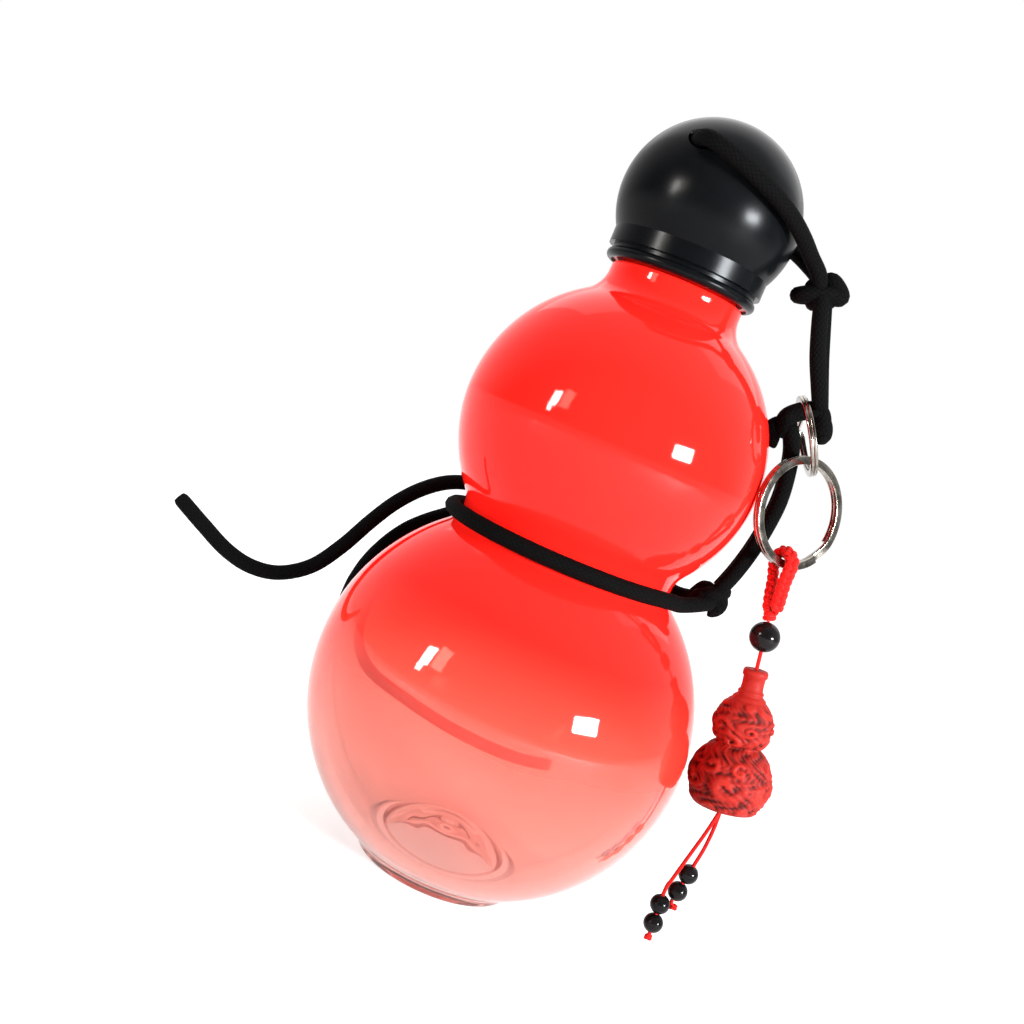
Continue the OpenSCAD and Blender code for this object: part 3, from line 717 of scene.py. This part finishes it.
def tie_middle_knot(look):
    """Ties the knot that passes through the small ring, laid out from the ring's joint."""
    hang = np.array(JOINTS["small_ring_swing"]["pos_m"]) / MM
    n = -np.array(JOINTS["small_ring_swing"]["axis"])
    down = np.array([n[2], 0, -n[0]])
    # On each side of the ring: one of its turns, a gap, and the knot's own radius
    away = (SMALL_RING[2] + 0.35 + 2.45) * n
    left, right = hang - away, hang + away
    through = [left + (0.4, 0, -5.6), left, right, right + 6.3 * down]
    leg = [left + (0.3, 0, -0.6), left + (0.5, 0, -4.6)]
    knot("knot_middle", [(through, 2.3), (leg, 2.7),
                         hump(left + (-0.2, 0.6, -4.6), 2.5, 2.4, 3.0, 250, 40, 1.9),
                         hump(right + 3.9 * down + (0, 0.8, 0), 1.0, 2.2, 2.4, -130, 100,
                              2.1)], look)


def lay_cap_loop(black):
    """Lays the loop through the ball, which joins the strap to the cap."""
    loop, line = tube("cord_cap", mm(CAP_ROUTE), BLACK_CORD_R * MM)
    finish_piece(loop, "cord_cap", None, ["cap_cord"], black)
    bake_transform(loop)


def lay_doubled_stretches(black):
    """Lays the two cords side by side from knot to knot."""
    for part, route in (("upper_front", UPPER_FRONT), ("upper_rear", UPPER_REAR),
                        ("lower_front", LOWER_FRONT), ("lower_rear", LOWER_REAR)):
        name = "cord_" + part
        piece, line = tube(name, mm(route), BLACK_CORD_R * MM, ends=False)
        finish_piece(piece, name, "strap", ["strap_" + part], black)


def waist_point(degrees):
    a = math.radians(degrees)
    return np.array([WAIST_CORD_R * math.cos(a), WAIST_CORD_R * math.sin(a), WAIST_CORD_Z])


def lay_waist_loop(black):
    """Lays the two halves of the loop, from the lower knot round to the rear knot."""
    leave = math.radians(WAIST_LEAVE)
    for name, node, way, last in (
            ("cord_waist_front", "waist_cord_front", -1, WAIST_FRONT_END),
            ("cord_waist_rear", "waist_cord_rear", 1, WAIST_REAR_END)):
        first = way * WAIST_LEAVE
        start = waist_point(first)
        away = np.array([math.sin(leave), -way * math.cos(leave), 0])
        # Inside the lower knot, then straight out of it to the waist
        lead = [(38.3, -0.6 + 1.8 * way, 92.0), (36.8, -1.2 + 4.2 * way, 90.6),
                start + away * 12, start + away * 7, start]
        line = flowing(lead, CORD_STEP / MM)[:-1]
        line += [waist_point(first + (last - first) * i / 60) for i in range(61)]
        piece, _ = tube(name, mm(line), BLACK_CORD_R * MM, ends=False, smooth=False)
        finish_piece(piece, name, "strap", [node], black)


def tail_on_bulb():
    """The rear tail's route, kept just outside the lower bulb."""
    centre = np.array([0, 0, LOWER_Z])
    reach = LOWER_R + BLACK_CORD_R + TAIL_GAP
    out = []
    for p in TAIL_REAR:
        d = np.array(p, float) - centre
        out.append(centre + d * max(1, reach / np.linalg.norm(d)))
    return out


def lay_tails(black):
    """Lays the two loose ends behind the rear knot."""
    for node, route in (("tail_left", TAIL_LEFT), ("tail_rear", tail_on_bulb())):
        name = "cord_" + node
        piece, line = tube(name, mm(route), BLACK_CORD_R * MM)
        finish_piece(piece, name, "strap", [node], black)


class MESH_OT_bottle_cord(bpy.types.Operator):
    """Lays the black cord with its loops, doubled stretches, tails and knots"""
    bl_idname = "mesh.bottle_cord"
    bl_label = "Carrying Cord"

    def execute(self, context):
        look = settings("cord_look")
        black = cord_finish("black braided cord", tuple(look.cord_colour),
                            height=look.braid_height)
        lay_cap_loop(black)
        lay_doubled_stretches(black)
        lay_waist_loop(black)
        lay_tails(black)
        tie_knots(black)
        tie_middle_knot(black)
        return {"FINISHED"}


def split_ring(name, centre, normal, size, start, body, look):
    """A flat wire wound twice, with its two ends and the step between the turns."""
    outer, band, thick = size
    middle = (outer - band) / 2
    # The wire's ends stop short of the step by this angle, in radians
    gap = 0.22
    # Radius of the wire's edges, and half the slit between the turns, in millimetres
    corner, slit = 0.22, 0.02
    deselect()
    bpy.ops.curve.primitive_nurbs_path_add()
    wire = bpy.context.object
    wire.data.splines.clear()
    steps = 240
    spline = wire.data.splines.new("POLY")
    spline.points.add(steps)
    for i, point in enumerate(spline.points):
        a = gap + (4 * math.pi - 2 * gap) * i / steps
        cross = min(1, max(0, (a - (math.tau - gap)) / (2 * gap)))
        cross = cross * cross * (3 - 2 * cross)
        side = -thick / 2 + thick * cross
        point.co = (middle * MM * math.cos(a), middle * MM * math.sin(a), side * MM, 1)
    bpy.ops.curve.primitive_bezier_circle_add(radius=1)
    section = bpy.context.object
    section.data.splines.clear()
    cut = section.data.splines.new("POLY")
    outline = []
    for sx, sy, a0 in ((1, 1, 0), (-1, 1, 90), (-1, -1, 180), (1, -1, 270)):
        for k in range(4):
            a = math.radians(a0 + 30 * k)
            outline.append((sx * (band / 2 - corner) + corner * math.cos(a),
                            sy * (thick / 2 - slit - corner) + corner * math.sin(a)))
    cut.points.add(len(outline) - 1)
    for point, (x, y) in zip(cut.points, outline):
        point.co = (x * MM, y * MM, 0, 1)
    cut.use_cyclic_u = True
    wire.data.dimensions = "3D"
    wire.data.twist_mode = "Z_UP"
    wire.data.bevel_mode = "OBJECT"
    wire.data.bevel_object = section
    wire.data.use_fill_caps = True
    select(wire)
    bpy.ops.object.convert(target="MESH")
    ring = bpy.context.object
    bpy.data.objects.remove(section)
    close_up(ring, 1e-8)
    z = Vector(normal).normalized()
    x = Vector(start)
    x = (x - x.dot(z) * z).normalized()
    y = z.cross(x)
    ring.matrix_world = Matrix(((x[0], y[0], z[0], centre[0]), (x[1], y[1], z[1], centre[1]),
                                (x[2], y[2], z[2], centre[2]), (0, 0, 0, 1)))
    finish_piece(ring, name, body, [name], look, smooth=False)
    select(ring)
    bpy.ops.object.shade_smooth_by_angle(angle=math.radians(35))


class MESH_OT_bottle_rings(bpy.types.Operator):
    """Winds the two split rings"""
    bl_idname = "mesh.bottle_rings"
    bl_label = "Split Rings"

    def execute(self, context):
        look = nickel_finish()
        hang = Vector(JOINTS["small_ring_swing"]["pos_m"])
        low = Vector(JOINTS["large_ring_swing"]["pos_m"])
        n = -Vector(JOINTS["small_ring_swing"]["axis"])
        down = (low - hang).normalized()
        # The large ring's joint lies on the middle circle of the small ring
        outer, band, _ = SMALL_RING
        centre = low - down * ((outer - band) / 2 * MM)
        split_ring("ring_small", centre, n, SMALL_RING, (0, 1, 0.4), "small_ring", look)
        mount = next(m for m in frame["record"]["mounts"] if m["name"] == "carry_ring")
        split_ring("ring_large", Vector(mount["pos_m"]), Vector(mount["axis"]), LARGE_RING,
                   (0.8, 0.55, -0.62), "large_ring", look)
        return {"FINISHED"}


def charm_axes():
    """Top and base of the charm's hanging line in millimetres, its direction, and the loop's
    side vector."""
    top = np.array(JOINTS["charm_swing"]["pos_m"]) / MM
    base = np.array(JOINTS["tassel_swing"]["pos_m"]) / MM
    down = (base - top) / np.linalg.norm(base - top)
    across = -np.array(JOINTS["charm_swing"]["axis"])
    side = np.cross(down, across)
    return top, base, down, side / np.linalg.norm(side)


def braided(name, route, radius, strand_r, pitch):
    """Three strands plaited along a route."""
    line, along, side = bend_frames(flowing(route, 0.25))
    up = np.cross(along, side)
    pieces = []
    for k in range(3):
        a = run_along(line) / pitch * math.tau + math.tau * k / 3
        path = (line + side * (radius * np.sin(a))[:, None]
                + up * (0.55 * radius * np.sin(2 * a))[:, None])
        pieces.append(tube(name + str(k), path * MM, strand_r * MM, WOUND_STEP, 2,
                           smooth=False)[0])
    return pieces


def charm_profile():
    """Turned outline of the charm, (radius, height above its flat base), in millimetres."""
    lower = arc(0, 7.5, 10.6, -36, 54, 60)
    neck = [(5.95, 16.2), (5.75, 16.6), (5.85, 17.0)]
    upper = arc(0, 21.6, 7.7, -37, 54, 44)
    stem = [(4.1, 28.3), (3.4, 28.9), (3.0, 29.3), (3.2, 29.5), (3.2, 30.0), (2.8, 30.3),
            (2.7, 31.4), (2.7, 32.6), (2.75, 33.6), (3.1, 33.9), (3.1, 35.0), (2.8, 35.5),
            (0.6, 35.6), (0.6, 33.2), (0, 33.2)]
    # The recess where the strings leave, and the flat round it
    base = [(0, 2.1), (2.2, 2.0), (2.3, 0.8), (3.2, 0.7), (8.2, 0.7)]
    return base + lower + neck + upper + stem


def scroll_relief(angle, height):
    """Height of the carved scrolls: curling ridges laid out round the charm, 0 to 1."""
    lower = height < CHARM_WAIST
    count = 7 if lower else 5
    middle, rows = (7.0, 5.6) if lower else (22.0, 5.0)
    u = angle / math.tau * count
    v = (height - middle) / rows
    best = 0.0
    for row in (-2, -1, 0, 1, 2):
        shift = 0.5 if row % 2 else 0.0
        cell = round(u - shift)
        for near in (cell - 1, cell, cell + 1):
            # Every scroll has its own size, place and curl
            luck = math.sin(12.9 * (near % count) + 78.2 * row + (3 if lower else 0))
            other = math.cos(39.3 * (near % count) + 11.1 * row)
            dx = (u - shift - near + 0.16 * other) * 1.25
            dy = v - row + 0.14 * luck
            way = 1 if luck > 0 else -1
            r = math.hypot(dx, dy * (1 + 0.25 * other)) * (1 + 0.2 * luck)
            if r > 0.85:
                continue
            a = math.atan2(dy, dx) * way + near * 1.7 + row * 0.9 + 2 * luck
            arm = math.cos(a + r * (11 + 3 * other))
            best = max(best, math.exp(-(r / 0.55) ** 2) * (0.55 + 0.6 * arm))
    leaf = 0.5 + 0.5 * math.cos(angle * count * 2 + 5.0 * math.sin(height * 0.9 + 1.5 * angle))
    vein = 0.5 + 0.5 * math.cos(angle * count * 5 - 6.0 * math.sin(height * 1.1))
    return min(1.0, max(0.0, 1.3 * best + (0.45 * leaf + 0.25 * vein) * (1 - best) - 0.15))


def wound(centre, across, ahead, rise, points):
    """A string wound one and a half times round a line from the centre."""
    return [centre + across * math.cos(a) + ahead * math.sin(a) + rise * a
            for a in np.linspace(0, 9.4, points)]


def plait_loop(red):
    """Plaits the loop on the large ring and winds the knot above the bead."""
    top, _, down, side = charm_axes()
    half_turn = np.linspace(0.25, math.pi - 0.25, 8)
    ring_r = 3.1
    # Both legs of the loop: distances down from the ring and out from its line
    route = [top + down * d + side * s
             for d, s in ((11.0, 1.5), (8, 1.8), (4.5, 2.0), (1.8, 2.6))]
    route += [top + side * ring_r * math.cos(a) - down * ring_r * math.sin(a)
              for a in half_turn]
    route += [top + down * d - side * s
              for d, s in ((1.8, 2.6), (4.5, 2.0), (8, 1.8), (12.2, 1.1))]
    plait = braided("plait", route, 0.80, 0.95, 5.2)
    strands = join([tube("strand", mm([top + down * 10.4 + side * (1.3 + k),
                                       top + down * 11.8 + side * (1.5 + k),
                                       top + down * 13.0 + side * 0.4, top + down * 13.6]),
                         STRING_R, KNOT_STEP, 2)[0] for k in (-0.6, 0.5)], "strand")
    coil = wound(top + down * 12.4, side, np.cross(down, side), down * 0.16, 48)
    knob = tube("knob", mm(coil), 0.0007, WOUND_STEP, 2, smooth=False)[0]
    loop = join(plait + [strands, knob], "charm_loop")
    finish_piece(loop, "charm_loop", "charm", ["charm_loop"], red)


def carve_gourd(colour):
    """Turns the charm's gourd and carves its scrolls."""
    gourd = lathe("gourd", charm_profile(), 320)
    heights = []
    for vertex in gourd.data.vertices:
        x, y, z = (c / MM for c in vertex.co)
        radius = math.hypot(x, y)
        depth = PLAIN_RELIEF
        if radius > STEM_R and CARVE_LOW < z < CARVE_HIGH:
            edge = min(1, (z - CARVE_LOW) / 1.2, (CARVE_HIGH - z) / 2)
            relief = scroll_relief(math.atan2(y, x) % math.tau, z)
            depth += (relief - PLAIN_RELIEF) * edge
            shrink = 1 - (1 - depth) * CARVE_DEPTH / radius
            vertex.co.x *= shrink
            vertex.co.y *= shrink
        heights.append(depth)
    layer = gourd.data.attributes.new("relief", "FLOAT", "POINT")
    layer.data.foreach_set("value", np.array(heights, np.float32))
    _, base, down, _ = charm_axes()
    tilt = math.atan2(down[0], -down[2])
    gourd.matrix_world = (Matrix.Translation(Vector(base) * MM)
                          @ Matrix.Rotation(-tilt, 4, "Y"))
    finish_piece(gourd, "charm_gourd", "charm", ["charm_gourd"], charm_finish(colour))


def hang_tassel(red):
    """Hangs the two strings from the charm's base and ties a knot at each end."""
    base = charm_axes()[1]
    for name, points in (("tassel_string_long", LONG_STRING),
                         ("tassel_string_short", SHORT_STRING)):
        path = [base + np.array(p) for p in points]
        piece, line = tube(name, mm(path), STRING_R, sides=2)
        finish_piece(piece, name, "tassel", [name], red)
    knots = []
    across, ahead, sink = np.diag((0.55, 0.55, -0.15 / 1.6))
    for points in (LONG_STRING, SHORT_STRING):
        coil = wound(base + np.array(points[-1]) + (0, 0, 0.45), across, ahead, sink, 40)
        knots.append(tube("turn", mm(coil), STRING_R, WOUND_STEP, 2, smooth=False)[0])
    piece = join(knots, "tassel_knots")
    finish_piece(piece, "tassel_knots", "tassel", ["tassel_knots"], red)


class MESH_OT_bottle_charm(bpy.types.Operator):
    """Plaits the loop, threads the bead, carves the gourd charm and hangs the tassel"""
    bl_idname = "mesh.bottle_charm"
    bl_label = "Charm"

    def execute(self, context):
        look = settings("cord_look")
        red = cord_finish("red braided cord", tuple(look.red_colour), 2, 0.0022, 0.00003, 0.6,
                          0.1)
        plait_loop(red)
        stone = bead_finish()
        dress(frame["nodes"]["charm_bead"], stone)
        top, _, down, _ = charm_axes()
        string, _ = tube("charm_string", mm([top + down * d for d in (14.4, 22, 28.4)]),
                         STRING_R, sides=2)
        finish_piece(string, "charm_string", "charm", ["charm_string"], red)
        carve_gourd(tuple(look.charm_colour))
        hang_tassel(red)
        dress(frame["nodes"]["tassel_beads"], stone)
        return {"FINISHED"}


def set_camera(scene):
    bpy.ops.object.camera_add(location=CAMERA_PLACE)
    camera = bpy.context.object
    camera.matrix_world = Matrix([(RIGHT[i], UP[i], -AHEAD[i], camera.location[i])
                                  for i in range(3)] + [(0, 0, 0, 1)])
    camera.data.lens = CAMERA_LENS
    camera.data.sensor_width = CAMERA_SENSOR
    camera.data.clip_start = 0.01
    scene.camera = camera


def set_floor(colour):
    deselect()
    bpy.ops.mesh.primitive_plane_add(size=8, location=(0, 0, 0))
    floor = bpy.context.object
    floor.name = "floor"
    floor.data.materials.append(floor_finish(colour))


def set_sky(scene, strength):
    """Lights the scene from all round: dark by the camera, bright behind and above."""
    world = bpy.data.worlds.new("soft sky")
    world.use_nodes = True
    nodes, link = world.node_tree.nodes, world.node_tree.links.new
    sky = nodes["Background"]
    sky.inputs["Strength"].default_value = strength
    split = nodes.new("ShaderNodeSeparateXYZ")
    link(nodes.new("ShaderNodeTexCoord").outputs["Generated"], split.inputs[0])
    back, lift = nodes.new("ShaderNodeMath"), nodes.new("ShaderNodeMath")
    for node, axis, share in ((back, "Y", SKY_BACK), (lift, "Z", SKY_UP)):
        node.operation = "MULTIPLY_ADD"
        link(split.outputs[axis], node.inputs[0])
        node.inputs[1].default_value = share
    back.inputs[2].default_value = SKY_LEVEL
    link(back.outputs[0], lift.inputs[2])
    ramp = nodes.new("ShaderNodeValToRGB")
    ramp.color_ramp.elements.new(0.4)
    ramp.color_ramp.elements.new(0.6)
    for element, (at, value) in zip(ramp.color_ramp.elements, SKY_RAMP):
        element.position = at
        element.color = (value, value, value, 1)
    link(lift.outputs[0], ramp.inputs[0])
    link(ramp.outputs["Color"], sky.inputs["Color"])
    # Seen directly, the surroundings are plain and pale all round
    pale = nodes.new("ShaderNodeBackground")
    pale.inputs["Color"].default_value = (1, 1, 1, 1)
    mix = nodes.new("ShaderNodeMixShader")
    link(nodes.new("ShaderNodeLightPath").outputs["Is Camera Ray"], mix.inputs[0])
    link(sky.outputs[0], mix.inputs[1])
    link(pale.outputs[0], mix.inputs[2])
    link(mix.outputs[0], nodes["World Output"].inputs["Surface"])
    scene.world = world


def set_lights():
    for name, direction, distance, width, height, power, colour in LIGHTS:
        aim = Vector(direction).normalized()
        place = Vector(LIGHT_TARGET) + aim * distance
        bpy.ops.object.light_add(type="AREA", location=place)
        lamp = bpy.context.object
        lamp.name = name
        lamp.rotation_euler = aim.to_track_quat("Z", "Y").to_euler()
        lamp.data.shape = "RECTANGLE"
        lamp.data.size, lamp.data.size_y = width, height
        lamp.data.energy = power
        lamp.data.color = colour


class SCENE_OT_bottle_stage(bpy.types.Operator):
    """Sets the camera, the floor and the soft light"""
    bl_idname = "scene.bottle_stage"
    bl_label = "Camera, Floor and Light"

    def execute(self, context):
        look = settings("stage_look")
        context.scene.view_settings.view_transform = "Standard"
        set_camera(context.scene)
        set_floor(tuple(look.floor_colour))
        set_sky(context.scene, look.sky_strength)
        set_lights()
        return {"FINISHED"}


class VIEW3D_PT_bottle(bpy.types.Panel):
    """Lists the steps that build the bottle"""
    bl_label = "Gourd Water Bottle"
    bl_idname = "VIEW3D_PT_bottle"
    bl_space_type = "VIEW_3D"
    bl_region_type = "UI"
    bl_category = "Bottle"

    def draw(self, context):
        for group in GROUPS:
            data = settings(group)
            box = self.layout.box()
            for prop in data.bl_rna.properties:
                if prop.identifier not in ("rna_type", "name"):
                    box.prop(data, prop.identifier)
        for step in STEPS:
            self.layout.operator(step.bl_idname)


STEPS = (SCENE_OT_bottle_stage, MESH_OT_bottle_cord, MESH_OT_bottle_glass, MESH_OT_bottle_cap,
         MESH_OT_bottle_rings, MESH_OT_bottle_charm)
GROUPS = {"bottle_look": BottleSettings, "cord_look": CordSettings,
          "stage_look": StageSettings}


def register():
    for cls in (*GROUPS.values(), *STEPS, VIEW3D_PT_bottle):
        bpy.utils.register_class(cls)
    for name, cls in GROUPS.items():
        setattr(bpy.types.Scene, name, bpy.props.PointerProperty(type=cls))


def unregister():
    for name in GROUPS:
        delattr(bpy.types.Scene, name)
    for cls in (VIEW3D_PT_bottle, *reversed(STEPS), *reversed(list(GROUPS.values()))):
        bpy.utils.unregister_class(cls)


def main():
    register()
    bpy.ops.scene.bottle_stage()
    bpy.ops.mesh.bottle_cord()
    bpy.ops.mesh.bottle_glass()
    bpy.ops.mesh.bottle_cap()
    bpy.ops.mesh.bottle_rings()
    bpy.ops.mesh.bottle_charm()
    deselect()


if __name__ == "__main__":
    main()
